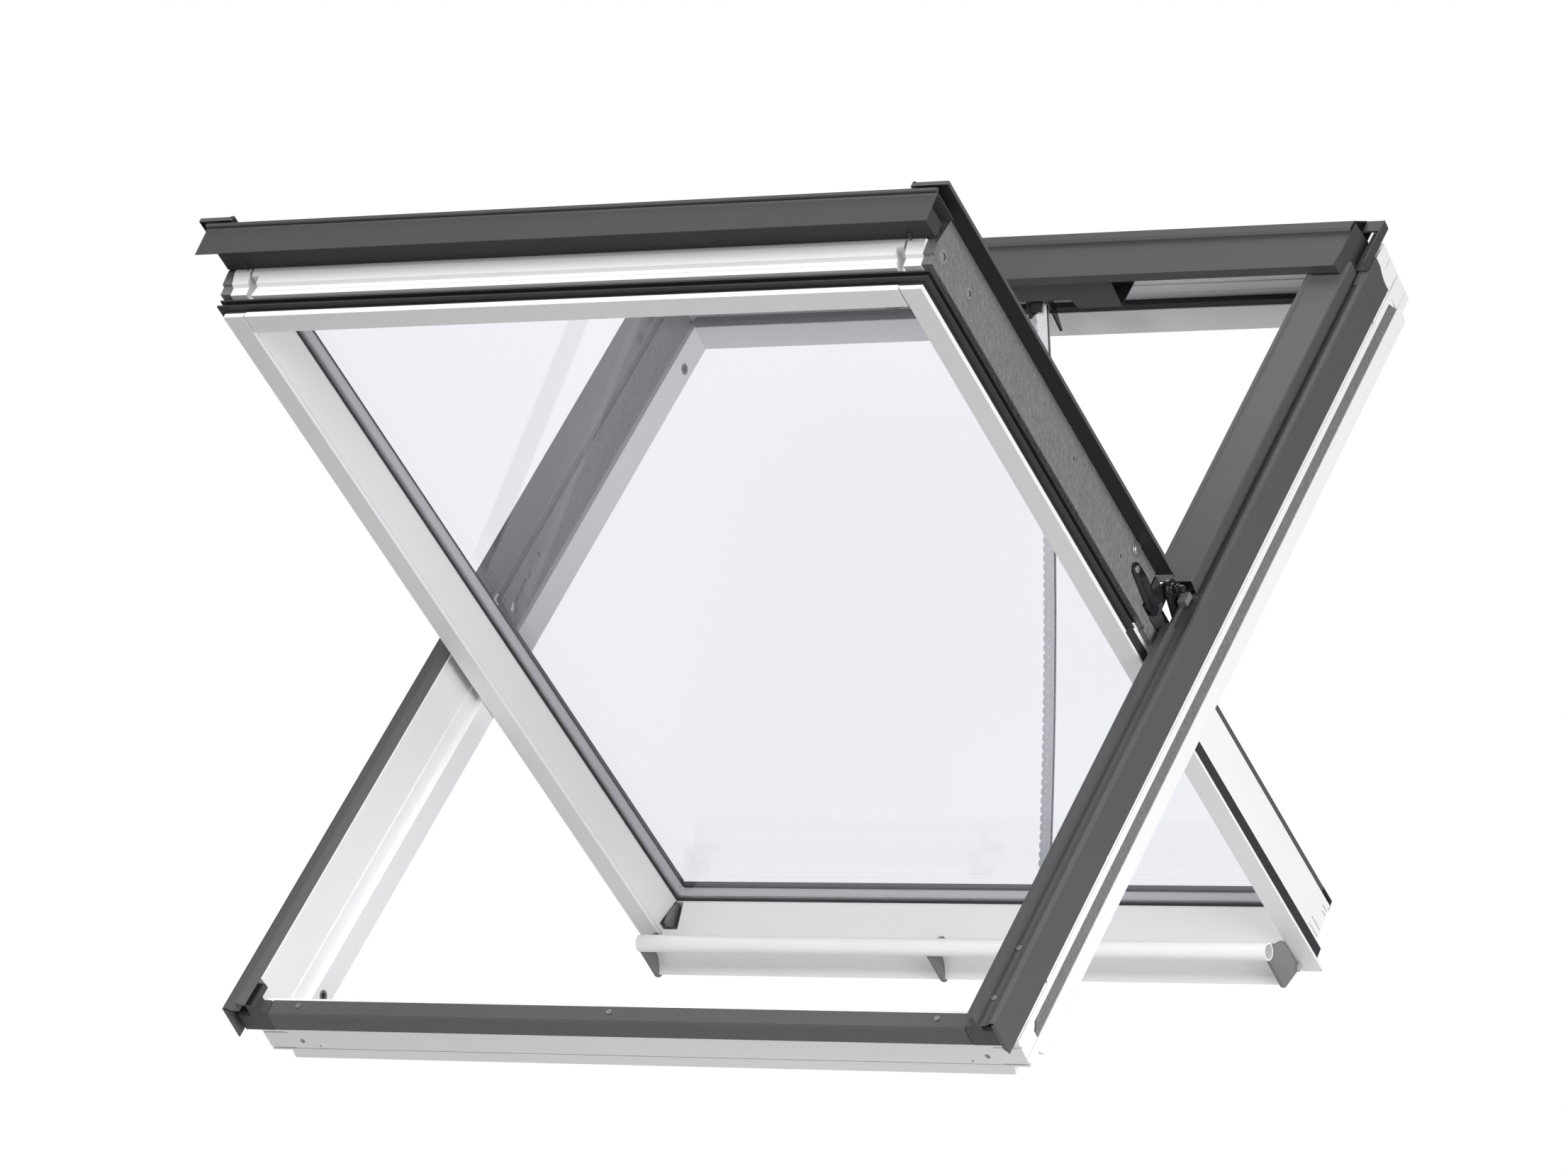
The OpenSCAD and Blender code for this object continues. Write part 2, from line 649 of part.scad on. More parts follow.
// Sash point (x, s, d) in frame coordinates at the opening angle.
function sash_point(p) = let (
    a = p[1] - pivot_s, b = p[2] - pivot_h
) [p[0], a * cos(opening) + b * sin(opening), pivot_d - a * sin(opening) + b * cos(opening)];

// Push chain between its guide and the bracket on the sash, bowed a little to the right.
module chain() {
    run = sash_point(chain_to) - chain_from;
    len = norm([run[1], run[2]]);
    start = 4 / len;
    end = 1 - 6.4 / len;
    middle = [for (i = [0 : 12]) let (t = start + (end - start) * i / 12)
        [run[0] * t + chain_bow * 4 * t * (1 - t), len * t]];
    color(steel) on_frame() translate(chain_from) rotate([atan2(run[2], run[1]), 0, 0])
        translate([0, 0, -chain_t / 2]) linear_extrude(chain_t) polygon(concat(
            [for (p = middle) p - [chain_w / 2, 0]],
            [for (i = [12 : -1 : 0]) middle[i] + [chain_w / 2, 0]]
        ));
}

// ================= sash =================
// Outline of the right side member of the sash, with its seal groove.
module sash_side_outline(groove, out_x) {
    polygon([
        [face_x, 0], [sash_x, 0], [sash_x, groove[0]], [sash_x - seal_cut, groove[0]],
        [sash_x - seal_cut, groove[1]], [out_x, groove[1]], [out_x, sash_depth],
        [rebate_x, sash_depth], [rebate_x, rebate_d], [reveal_x, rebate_d], [reveal_x, rebate_d - 2],
        [face_x - 3.5, 3.5], [face_x - 2, 3.5]
    ]);
}

// What is cut away past the top end of the sash body.
module top_end_cut() {
    along_x(-half_w, half_w) polygon([
        [sash_top_s + 5, 6], [sash_top_s - eps, 6], [sash_top_s - 21, 22], [top_body_s, 22],
        [top_body_s, 200], [sash_top_s + 5, 200]
    ]);
}

// Comb-joint seams at the end of the right side member.
module comb_seams() {
    for (c = [[68, 17], [61, 13], [37.5, 30], [26.5, 30]])
        span([sash_x - 3, top_body_s - c[1], c[0]], [sash_x + 1, top_body_s + 1, c[0] + 1.4]);
}

module sash_side() {
    difference() {
        union() {
            along_s(sash_bottom_s, -20) sash_side_outline(seal_d, sash_pad_in_x - fit);
            along_s(-20, sash_top_s) sash_side_outline([4, 21], sash_x - 1);
        }
        top_end_cut();
        span([0, sash_bottom_s - 1, seal_d[0]], [sash_x, sash_bottom_s + seal_cut, seal_d[1]]);
        comb_seams();
    }
}

// Slanted lower end of a side member, level with the bottom rail's outline.
module sash_side_foot() {
    along_x(sash_x - seal_cut - 24, sash_pad_in_x - fit) polygon([
        [sash_bottom_s + 1, seal_d[1] + 2], [sash_bottom_s - 12, seal_d[1] + 2], [sash_bottom_s - 13, 38.5],
        [sash_bottom_s - 18.5, 40.5], [sash_bottom_s - 24, 55.5], [sash_bottom_s - 24, 61], [sash_bottom_s + 1, 70]
    ]);
}

module bolt_seat() {
    span([reveal_x - 12, grip_s - 8, 9], [reveal_x + 6 + bolt_travel, bolt_s + 9, 49]);
    bar_x(face_x, sash_x + 2, bolt_s, bolt_d, bolt_r + 0.1);
}

module sash_side_right() {
    color(white) on_sash() union() {
        sash_side();
        sash_side_foot();
    }
}
module sash_side_left() {
    color(white) on_sash() mirror([1, 0, 0]) difference() {
        union() {
            sash_side();
            sash_side_foot();
        }
        bolt_seat();
    }
}

// Cuts the rails of the sash to fit between its sides.
module between_sash_sides() {
    difference() {
        children();
        both_sides() {
            span([face_x - 3.5, -half_l, -1], [half_w, half_l, 3.5]);
            along_s(-half_l, half_l) translate([-fit, 0]) polygon([
                [face_x, -1], [half_w, -1], [half_w, 100], [rebate_x, 100], [rebate_x, rebate_d],
                [reveal_x, rebate_d], [reveal_x, rebate_d - 2], [face_x - 3.5, 3.5]
            ]);
        }
    }
}

module sash_top_rail() {
    color(white) on_sash() difference() {
        between_sash_sides() along_x(-sash_x, sash_x) polygon([
            [top_face_in_s, 0], [sash_top_s, 0], [sash_top_s, 6], [sash_top_s - 21, 22], [top_body_s, 22],
            [top_body_s, sash_depth], [top_rebate_s, sash_depth], [top_rebate_s, rebate_d],
            [top_reveal_s, rebate_d], [top_reveal_s, rebate_d - 2]
        ]);
        chain_notch();
        mirror([1, 0, 0]) bolt_seat();
        span([hook_x - 2, top_body_s - 2, 3.5], [hook_x + hook_t + 2, top_body_s + 21, 23]);
    }
}

// Recess in the top end of the sash that the chain passes through.
module chain_notch() {
    span([notch_x[0], top_body_s - 15, 24], [notch_x[1], top_body_s + 5, sash_depth + 20]);
}

module sash_bottom_rail() {
    color(white) on_sash() between_sash_sides() along_x(-sash_x, sash_x) polygon([
        [bottom_face_in_s, 0], [sash_bottom_s, 0], [sash_bottom_s - 1.5, seal_d[0]],
        [sash_bottom_s + seal_cut, seal_d[0]], [sash_bottom_s + seal_cut, seal_d[1]],
        [sash_bottom_s - 12, seal_d[1]], [sash_bottom_s - 13, 31], [sash_bottom_s - 11.5, 31.6],
        [sash_bottom_s - 13, 32.2], [sash_bottom_s - 13, 38.5], [sash_bottom_s - 18.5, 40.5],
        [sash_bottom_s - 24, 55.5], [sash_bottom_s - 24, 61],
        [sash_bottom_s - 20, 86], [bottom_rebate_s, 86], [bottom_rebate_s, rebate_d],
        [bottom_reveal_s, rebate_d], [bottom_reveal_s, rebate_d - 2]
    ]);
}

// A pane of the sealed unit.
module pane(d0) {
    span([-glass_x, bottom_rebate_s + 1.5, d0], [glass_x, top_rebate_s - 1.5, d0 + pane_t]);
}
module inner_pane() { color([0.8, 0.88, 0.9, 0.4]) on_sash() pane(glass_d); }
module outer_pane() { color([0.8, 0.88, 0.9, 0.4]) on_sash() pane(glass_d + pane_t + spacer_d); }

// Metal spacer between the panes.
module glass_spacer() {
    color(steel) on_sash() along_d(glass_d + pane_t + fit, glass_d + pane_t + spacer_d - fit) difference() {
        polygon([
            [-glass_x + 9, bottom_rebate_s + 11], [glass_x - 9, bottom_rebate_s + 11],
            [glass_x - 9, top_rebate_s - 11], [-glass_x + 9, top_rebate_s - 11]
        ]);
        rounded_rect(glass_x - 9 - spacer_w, bottom_rebate_s + 11 + spacer_w, top_rebate_s - 11 - spacer_w, 4);
    }
}

// Exact rounded rectangle, in (x, s).
module rounded_rect(x, s0, s1, r) {
    translate([-x, s0 + r]) square([2 * x, s1 - s0 - 2 * r]);
    translate([-x + r, s0]) square([2 * (x - r), s1 - s0]);
    for (sx = [-1, 1], s = [s0 + r, s1 - r]) translate([sx * (x - r), s]) circle(r = r);
}

// Black glazing gasket under the inner pane.
module glazing_gasket() {
    color(black) on_sash() along_d(rebate_d + fit, glass_d - fit) difference() {
        translate([-rebate_x + 1, bottom_rebate_s + 1])
            square([2 * (rebate_x - 1), top_rebate_s - bottom_rebate_s - 2]);
        translate([-reveal_x + 2.5, bottom_reveal_s + 2.5])
            square([2 * (reveal_x - 2.5), top_reveal_s - bottom_reveal_s - 5]);
    }
}

// A fin of the perimeter seal: a U around the lower half.
module seal_fin(out, d0, d1) {
    along_d(d0, d1) difference() {
        translate([-sash_x - out, sash_bottom_s - out]) square([2 * (sash_x + out), -20 - sash_bottom_s + out]);
        translate([-sash_x + seal_cut - fit, sash_bottom_s + seal_cut - fit])
            square([2 * (sash_x - seal_cut + fit), 2 * half_l]);
    }
}

module sash_seal() {
    color(black) on_sash() {
        seal_fin(-0.5, seal_d[0] + 0.1, seal_d[1] - 0.1);
        seal_fin(10, 10, 12.5);
        seal_fin(9.4, 19.5, 22);
    }
}

// Flush gaskets along the upper half of the sides.
module upper_side_seals() {
    color(black) on_sash() both_sides()
        span([sash_x - seal_cut + fit, -19.8, 4.1], [sash_x - 0.4, sash_top_s - 22, 20.9]);
}

// Rough insulation pads on the lower half of the sash sides.
module sash_side_pads() {
    color(grey) on_sash() both_sides() difference() {
        along_x(sash_pad_in_x, sash_pad_x) polygon([
            [sash_bottom_s - 13, sash_pad_d[0]], [sash_bottom_s - 14, 40], [sash_bottom_s - 18.5, 41.5],
            [sash_bottom_s - 20, 62], [sash_bottom_s - 14, sash_pad_d[1]], [-24, sash_pad_d[1]], [-24, sash_pad_d[0]]
        ]);
        for (p = plug_places) bar_x(sash_pad_x - 6, sash_pad_x + 1, p[0], p[1], p[2]);
    }
}
plug_places = [
    [sash_bottom_s + 1, 54, 9.5], [sash_bottom_s + 74, 61, 7.3], [sash_bottom_s + 388, 74, 5], [-104, 58, 5]
];

// Plugs in the pads.
module sash_pad_plugs() {
    color(grey) on_sash() both_sides() for (p = plug_places) difference() {
        bar_x(sash_pad_x - 6 + fit, sash_pad_x - 0.4, p[0], p[1], p[2] - fit);
        bar_x(sash_pad_x - 3, sash_pad_x + 2, p[0] + p[2] * 0.1, p[1], p[2] * 0.55);
    }
}

// Aluminium cover over a lower side of the sash, folded down outside and closed at its end.
module sash_side_cover() {
    along_s(sash_cover_end_s, cover_gap_s) polygon(sheet([
        [sash_cover_x, sash_cover_d - 6], [sash_cover_x, sash_cover_d - 1], [sash_cover_x - 1, sash_cover_d],
        [sash_cover_in_x + 6, sash_cover_d], [sash_cover_in_x + 4, sash_cover_d + 1.5],
        [sash_cover_in_x, sash_cover_d + 1.5], [sash_cover_in_x, sash_cover_d - 7]
    ], sheet_t));
    span([sash_cover_in_x + 1.4, sash_cover_end_s, sash_cover_d - 6],
        [sash_cover_x - 1.4, sash_cover_end_s + 1.5, sash_cover_d - 1.4]);
}
module sash_side_cover_right() { color(dark) on_sash() sash_side_cover(); }
module sash_side_cover_left() { color(dark) on_sash() mirror([1, 0, 0]) sash_side_cover(); }

// Thin cladding on the upper sides of the sash.
module sash_upper_cladding() {
    color(dark) on_sash() both_sides() along_s(6, top_rebate_s - 8.4) polygon(sheet([
        [sash_x - 1, sash_depth + fit], [sash_x - 1, sash_depth + 8], [sash_x - 2, sash_depth + 9],
        [rebate_x - 5, sash_depth + 9], [rebate_x - 6, glass_d + unit_t + 0.2]
    ], sheet_t));
}

// Room that a cladding leaves for the side member under it.
module over_side_member() {
    span([rebate_x - 1, -half_l, 0], [half_w, top_body_s + fit, sash_depth + fit]);
}

// Cladding along the top rail of the sash.
module sash_top_cladding() {
    end_x = sash_x - 1;
    color(dark) on_sash() difference() {
        along_x(-end_x, end_x) polygon(sheet([
            [top_rebate_s - 8, glass_d + unit_t + 0.2], [top_rebate_s - 7, sash_depth + 9],
            [top_body_s + 1.6, sash_depth + 9], [top_body_s + 1.6, sash_depth - 8]
        ], -sheet_t));
        both_sides() over_side_member();
        chain_notch();
    }
}

// Flat cover over the bottom rail of the sash.
module sash_bottom_cover() {
    end_x = sash_cover_in_x - 1.2;
    color(dark) on_sash() difference() {
        along_x(-end_x, end_x) polygon(sheet([
            [bottom_rebate_s + 9, glass_d + unit_t + 0.2], [bottom_rebate_s + 8, 89],
            [sash_bottom_s - 25.5, 88]
        ], sheet_t));
        both_sides() over_side_member();
    }
}

// Drip profile: an apron with a round bead at its top edge.
module sash_drip_profile() {
    bead = [apron_s - 4, 89];
    color(dark) on_sash() along_x(-drip_x, drip_x) union() {
        polygon(sheet([
            [sash_bottom_s - 26.5, 88], [bead[0], 88], [apron_s - 1.5, apron_d[1] - 3], [apron_s, apron_d[0]]
        ], sheet_t));
        translate(bead) circle(r = 3.4);
    }
}

// Sheet that closes the underside between the drip profile and the bottom rail.
module sash_under_cladding() {
    end_x = sash_x + 8;
    color(black) on_sash() {
        both_sides() along_x(end_x - 2, end_x) polygon([
            [sash_bottom_s - 24.4, under_d + 0.5], [apron_s + 4.2, under_d + 0.5], [apron_s + 3.8, 84],
            [sash_bottom_s - 24.4, 84]
        ]);
        along_x(-end_x, end_x) polygon(sheet([
            [sash_bottom_s - 24.2, under_d], [apron_s + 5, under_d], [apron_s + 3.8, 84]
        ], -sheet_t));
        both_sides() span([end_x - 34, sash_bottom_s - 36, under_d - 3.5], [end_x - 32.5, sash_bottom_s - 24.5, under_d + 0.1]);
    }
}

// Bracket on the sash that the chain's end is pinned to.
module chain_bracket() {
    c = chain_to;
    foot_s = top_body_s + 2;
    color(steel) on_sash() {
        span([c[0] - 17, foot_s, 22 + fit], [c[0] - 1, foot_s + 14, 24]);
        along_x(c[0] - 7, c[0] - 3) {
            polygon([[foot_s, 23.9], [foot_s + 14, 23.9], [c[1] + 6, c[2]], [c[1] - 6, c[2]]]);
            translate([c[1], c[2]]) circle(r = 6);
        }
        bar_x(c[0] - 9, c[0] + 5, c[1], c[2], 2.5);
    }
}

// ================= vent flap =================
// Rod with its ears on the top rail, which the flap's brackets turn on.
module flap_hinge_rod() {
    color(steel) on_sash() {
        bar_x(-bar_half_x - 4, bar_half_x + 4, rod_s, rod_d, rod_r);
        for (x = bracket_xs, e = [-4.3, bracket_t + 0.3])
            along_x(x + e, x + e + 4) polygon([
                [rod_s - 6, -0.02], [rod_s + 6, -0.02], [rod_s + 4, rod_d - 4.5], [rod_s - 4, rod_d - 4.5]
            ]);
    }
}

module control_bar() {
    color(white) on_sash() difference() {
        bar_x(-bar_half_x + 1, bar_half_x - 1, bar_s, bar_d, bar_r);
        bar_x(-bar_half_x - 1, bar_half_x + 1, bar_s, bar_d, bar_r - 2);
    }
}

// Points of the flap's curve, from under the bar to its lower edge.
flap_bulge = 13;
function flap_curve(n) = [for (i = [0 : n]) let (t = i / n, p0 = [bar_s + bar_r + 1, bar_d + 3])
    p0 + t * (flap_low - p0) + [0, flap_bulge * 4 * t * (1 - t)]];

module flap_plate() {
    color(white) on_sash() for (i = [0, 1])
        along_x(bracket_xs[i] + bracket_t + 0.2, bracket_xs[i + 1] - 0.2) polygon(sheet(flap_curve(10), 2));
}

// Crescent brackets that carry the bar and turn on the rod.
module flap_brackets() {
    color(grey) on_sash() for (x = bracket_xs) difference() {
        along_x(x, x + bracket_t) union() {
            polygon(concat(
                [[bar_s + bar_r * 0.7, bar_d - bar_r * 0.72]],
                [flap_low + [0, -3], flap_low + [5, -1], [rod_s + 6, rod_d], [rod_s, rod_d + 5.5], [bar_s + 20, rod_d + 4]],
                [[bar_s + 3, bar_d + bar_r - 0.5]]
            ));
            translate([rod_s, rod_d]) circle(r = 6);
        }
        bar_x(x - 1, x + bracket_t + 1, rod_s, rod_d, rod_r + pin_clear);
        bar_x(x - 1, x + bracket_t + 1, bar_s, bar_d, bar_r + fit);
    }
}

// Sliding bolt with its grip.
module barrel_bolt() {
    grip_x = reveal_x - 3;
    color(grey) on_sash() mirror([1, 0, 0]) {
        hull() for (p = [[grip_s, bolt_d - 12], [grip_s, bolt_d + 12], [bolt_s, bolt_d]])
            bar_x(grip_x, grip_x + 8, p[0], p[1], 7);
        bar_x(grip_x + 7, sash_x - 2.6, bolt_s, bolt_d, bolt_r);
    }
}

frame_side_left();
frame_side_right();
frame_top_rail();
frame_bottom_rail();
frame_side_strips();
lining_flanges();
frame_top_seal();
frame_wall_pads();
frame_bushes();
frame_side_cladding_left();
frame_side_cladding_right();
frame_corner_plates();
frame_bottom_cladding();
frame_corner_brackets();
upper_cover_left();
upper_cover_right();
top_casing();
top_casing_ends();
cladding_screws();
frame_hinge_plates();
hinge_screws();
chain_actuator();
connection_box();
chain_guide();
chain();
sash_side_left();
sash_side_right();
sash_top_rail();
sash_bottom_rail();
inner_pane();
outer_pane();
glass_spacer();
glazing_gasket();
sash_seal();
upper_side_seals();
sash_side_pads();
sash_pad_plugs();
sash_side_cover_left();
sash_side_cover_right();
sash_upper_cladding();
sash_top_cladding();
sash_bottom_cover();
sash_drip_profile();
sash_under_cladding();
sash_hinge_plates();
hinge_stops();
chain_bracket();
flap_hinge_rod();
control_bar();
flap_plate();
flap_brackets();
barrel_bolt();
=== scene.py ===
"""Roof skylight: finishes, soft edges, the opener's chain, the pivots' small parts and the panes' bead."""
import json
from itertools import product
from math import cos, hypot, radians, sin
import bmesh
import bpy
from mathutils import Matrix, Vector


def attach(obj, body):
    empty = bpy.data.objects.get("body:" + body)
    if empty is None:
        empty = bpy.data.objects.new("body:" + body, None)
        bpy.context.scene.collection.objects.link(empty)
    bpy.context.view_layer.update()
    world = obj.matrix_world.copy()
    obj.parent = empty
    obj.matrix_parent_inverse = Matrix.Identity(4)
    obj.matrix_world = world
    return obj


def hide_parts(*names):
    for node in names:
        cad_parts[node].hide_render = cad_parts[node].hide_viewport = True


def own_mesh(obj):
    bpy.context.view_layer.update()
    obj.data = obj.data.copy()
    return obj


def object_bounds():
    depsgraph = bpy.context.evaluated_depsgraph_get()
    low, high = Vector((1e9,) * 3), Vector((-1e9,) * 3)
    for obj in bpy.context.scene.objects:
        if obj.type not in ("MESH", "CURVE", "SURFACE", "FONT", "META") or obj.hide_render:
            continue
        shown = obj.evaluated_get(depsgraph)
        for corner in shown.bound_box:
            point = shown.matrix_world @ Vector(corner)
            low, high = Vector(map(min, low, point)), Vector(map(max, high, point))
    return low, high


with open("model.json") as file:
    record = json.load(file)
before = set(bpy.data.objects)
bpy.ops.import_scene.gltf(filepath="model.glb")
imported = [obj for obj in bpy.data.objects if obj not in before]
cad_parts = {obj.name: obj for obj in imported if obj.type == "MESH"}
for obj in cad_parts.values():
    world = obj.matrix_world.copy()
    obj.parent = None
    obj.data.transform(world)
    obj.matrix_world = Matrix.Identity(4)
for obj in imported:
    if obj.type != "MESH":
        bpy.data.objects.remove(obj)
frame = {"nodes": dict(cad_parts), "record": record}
cad_box = [list(corner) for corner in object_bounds()]

MM = 0.001
SIDES = (1, "right"), (-1, "left")


# ---------- places ----------
ROOF_SLOPE = radians(45)
OPENING = radians(84.8)
PIVOT_ON_FRAME = 0, 135
PIVOT_ON_SASH = 8.5, 100


def on_frame(x, s, d):
    """A point on the fixed frame: across, up the slope and outwards, in millimetres."""
    back, up = s * cos(ROOF_SLOPE) - d * sin(ROOF_SLOPE), s * sin(ROOF_SLOPE) + d * cos(ROOF_SLOPE)
    return Vector((x, back, up)) * MM


def on_sash(x, s, d):
    """A point on the open sash: across, along its side members and outwards, in millimetres."""
    along, out = s - PIVOT_ON_SASH[0], d - PIVOT_ON_SASH[1]
    return on_frame(x, PIVOT_ON_FRAME[0] + along * cos(OPENING) + out * sin(OPENING),
                    PIVOT_ON_FRAME[1] - along * sin(OPENING) + out * cos(OPENING))


SASH_ALONG = (on_sash(0, 1, 0) - on_sash(0, 0, 0)).normalized()
SASH_OUT = (on_sash(0, 0, 1) - on_sash(0, 0, 0)).normalized()


# ---------- finishes ----------
VALUE, COLOUR, VECTOR = "NodeSocketFloat", "NodeSocketColor", "NodeSocketVector"
# A Mix node's sockets share their names, so they are reached by number.
MIX_SHARE, MIX_VALUE_A, MIX_VALUE_B, MIX_VALUE = 0, 2, 3, 0
MIX_COLOUR_A, MIX_COLOUR_B, MIX_COLOUR = 6, 7, 2


def grain_group():
    """Cloudy patches and fine specks on any finish, as a colour, a roughness and a height."""
    group = bpy.data.node_groups.new("patches_and_specks", "ShaderNodeTree")
    put = group.interface.new_socket
    for name, kind in (("Vector", VECTOR), ("Light", COLOUR), ("Dark", COLOUR), ("Patch Scale", VALUE),
                       ("Speck Scale", VALUE), ("Speck Share", VALUE), ("Roughness", VALUE),
                       ("Roughness Spread", VALUE)):
        put(name, in_out="INPUT", socket_type=kind)
    for name, kind in (("Colour", COLOUR), ("Roughness", VALUE), ("Height", VALUE)):
        put(name, in_out="OUTPUT", socket_type=kind)
    nodes, link = group.nodes, group.links.new
    given, result = nodes.new("NodeGroupInput"), nodes.new("NodeGroupOutput")
    patch, speck = nodes.new("ShaderNodeTexNoise"), nodes.new("ShaderNodeTexNoise")
    patch.inputs["Detail"].default_value = 4
    speck.inputs["Detail"].default_value = 2
    speck.inputs["Roughness"].default_value = 0.7
    for noise, scale in ((patch, "Patch Scale"), (speck, "Speck Scale")):
        link(given.outputs["Vector"], noise.inputs["Vector"])
        link(given.outputs[scale], noise.inputs["Scale"])
    sharper = nodes.new("ShaderNodeMapRange")
    sharper.inputs["From Min"].default_value = 0.3
    sharper.inputs["From Max"].default_value = 0.7
    link(speck.outputs["Fac"], sharper.inputs["Value"])
    both = nodes.new("ShaderNodeMix")
    link(given.outputs["Speck Share"], both.inputs[MIX_SHARE])
    link(patch.outputs["Fac"], both.inputs[MIX_VALUE_A])
    link(sharper.outputs["Result"], both.inputs[MIX_VALUE_B])
    tone = nodes.new("ShaderNodeMix")
    tone.data_type = "RGBA"
    link(both.outputs[MIX_VALUE], tone.inputs[MIX_SHARE])
    link(given.outputs["Dark"], tone.inputs[MIX_COLOUR_A])
    link(given.outputs["Light"], tone.inputs[MIX_COLOUR_B])
    centred, spread = nodes.new("ShaderNodeMath"), nodes.new("ShaderNodeMath")
    centred.operation, spread.operation = "SUBTRACT", "MULTIPLY_ADD"
    centred.inputs[1].default_value = 0.5
    link(both.outputs[MIX_VALUE], centred.inputs[0])
    link(centred.outputs[0], spread.inputs[0])
    link(given.outputs["Roughness Spread"], spread.inputs[1])
    link(given.outputs["Roughness"], spread.inputs[2])
    link(tone.outputs[MIX_COLOUR], result.inputs["Colour"])
    link(spread.outputs[0], result.inputs["Roughness"])
    link(both.outputs[MIX_VALUE], result.inputs["Height"])
    return group


GRAIN = grain_group()


def finish(name, light, dark, patch=3, speck=400, share=0.5, rough=0.5, rough_spread=0.15, bump=0.1,
           depth=0.0003, stretch=(1, 1, 1), turn=(0, 0, 0), metallic=0.0, coat=0.0, coat_rough=0.1,
           specular=0.5):
    """A coated, moulded or plated finish: patches and specks of two tones, with the same grain as relief."""
    material = bpy.data.materials.new(name)
    material.use_nodes = True
    nodes, link = material.node_tree.nodes, material.node_tree.links.new
    shader = nodes["Principled BSDF"]
    shader.inputs["Metallic"].default_value = metallic
    shader.inputs["Coat Weight"].default_value = coat
    shader.inputs["Coat Roughness"].default_value = coat_rough
    shader.inputs["Specular IOR Level"].default_value = specular
    place = nodes.new("ShaderNodeTexCoord")
    mapping = nodes.new("ShaderNodeMapping")
    mapping.inputs["Scale"].default_value = stretch
    mapping.inputs["Rotation"].default_value = turn
    grain = nodes.new("ShaderNodeGroup")
    grain.node_tree = GRAIN
    values = {"Light": (*light, 1), "Dark": (*dark, 1), "Patch Scale": patch, "Speck Scale": speck,
              "Speck Share": share, "Roughness": rough, "Roughness Spread": rough_spread}
    for socket, value in values.items():
        grain.inputs[socket].default_value = value
    relief = nodes.new("ShaderNodeBump")
    relief.inputs["Strength"].default_value = bump
    relief.inputs["Distance"].default_value = depth
    link(place.outputs["Object"], mapping.inputs["Vector"])
    link(mapping.outputs["Vector"], grain.inputs["Vector"])
    link(grain.outputs["Colour"], shader.inputs["Base Color"])
    link(grain.outputs["Roughness"], shader.inputs["Roughness"])
    link(grain.outputs["Height"], relief.inputs["Height"])
    link(relief.outputs["Normal"], shader.inputs["Normal"])
    return material


def powder_coat(name, light, dark, rough):
    """Dark powder coating with a fine grain."""
    return finish(name, light, dark, patch=5, speck=950, share=0.7, rough=rough, rough_spread=0.2, bump=0.3,
                  depth=0.0004)


def pane_glass():
    """Clear pane: lets light straight through with a cold tint, and mirrors more at a low angle."""
    mirror_head_on, mirror_gain, mirror_steepness = 0.035, 0.96, 5
    material = bpy.data.materials.new("pane_glass")
    material.use_nodes = True
    nodes, link = material.node_tree.nodes, material.node_tree.links.new
    nodes.remove(nodes["Principled BSDF"])
    through, mirror = nodes.new("ShaderNodeBsdfTransparent"), nodes.new("ShaderNodeBsdfGlossy")
    through.inputs["Color"].default_value = (0.982, 0.984, 0.996, 1)
    mirror.inputs["Color"].default_value = (0.95, 0.97, 1, 1)
    mirror.inputs["Roughness"].default_value = 0.02
    angle = nodes.new("ShaderNodeLayerWeight")
    angle.inputs["Blend"].default_value = 0.5
    power, share = nodes.new("ShaderNodeMath"), nodes.new("ShaderNodeMath")
    power.operation, share.operation = "POWER", "MULTIPLY_ADD"
    power.inputs[1].default_value = mirror_steepness
    share.inputs[1].default_value = mirror_gain
    share.inputs[2].default_value = mirror_head_on
    mix = nodes.new("ShaderNodeMixShader")
    link(angle.outputs["Facing"], power.inputs[0])
    link(power.outputs[0], share.inputs[0])
    link(share.outputs[0], mix.inputs[0])
    link(through.outputs[0], mix.inputs[1])
    link(mirror.outputs[0], mix.inputs[2])
    link(mix.outputs[0], nodes["Material Output"].inputs["Surface"])
    return material


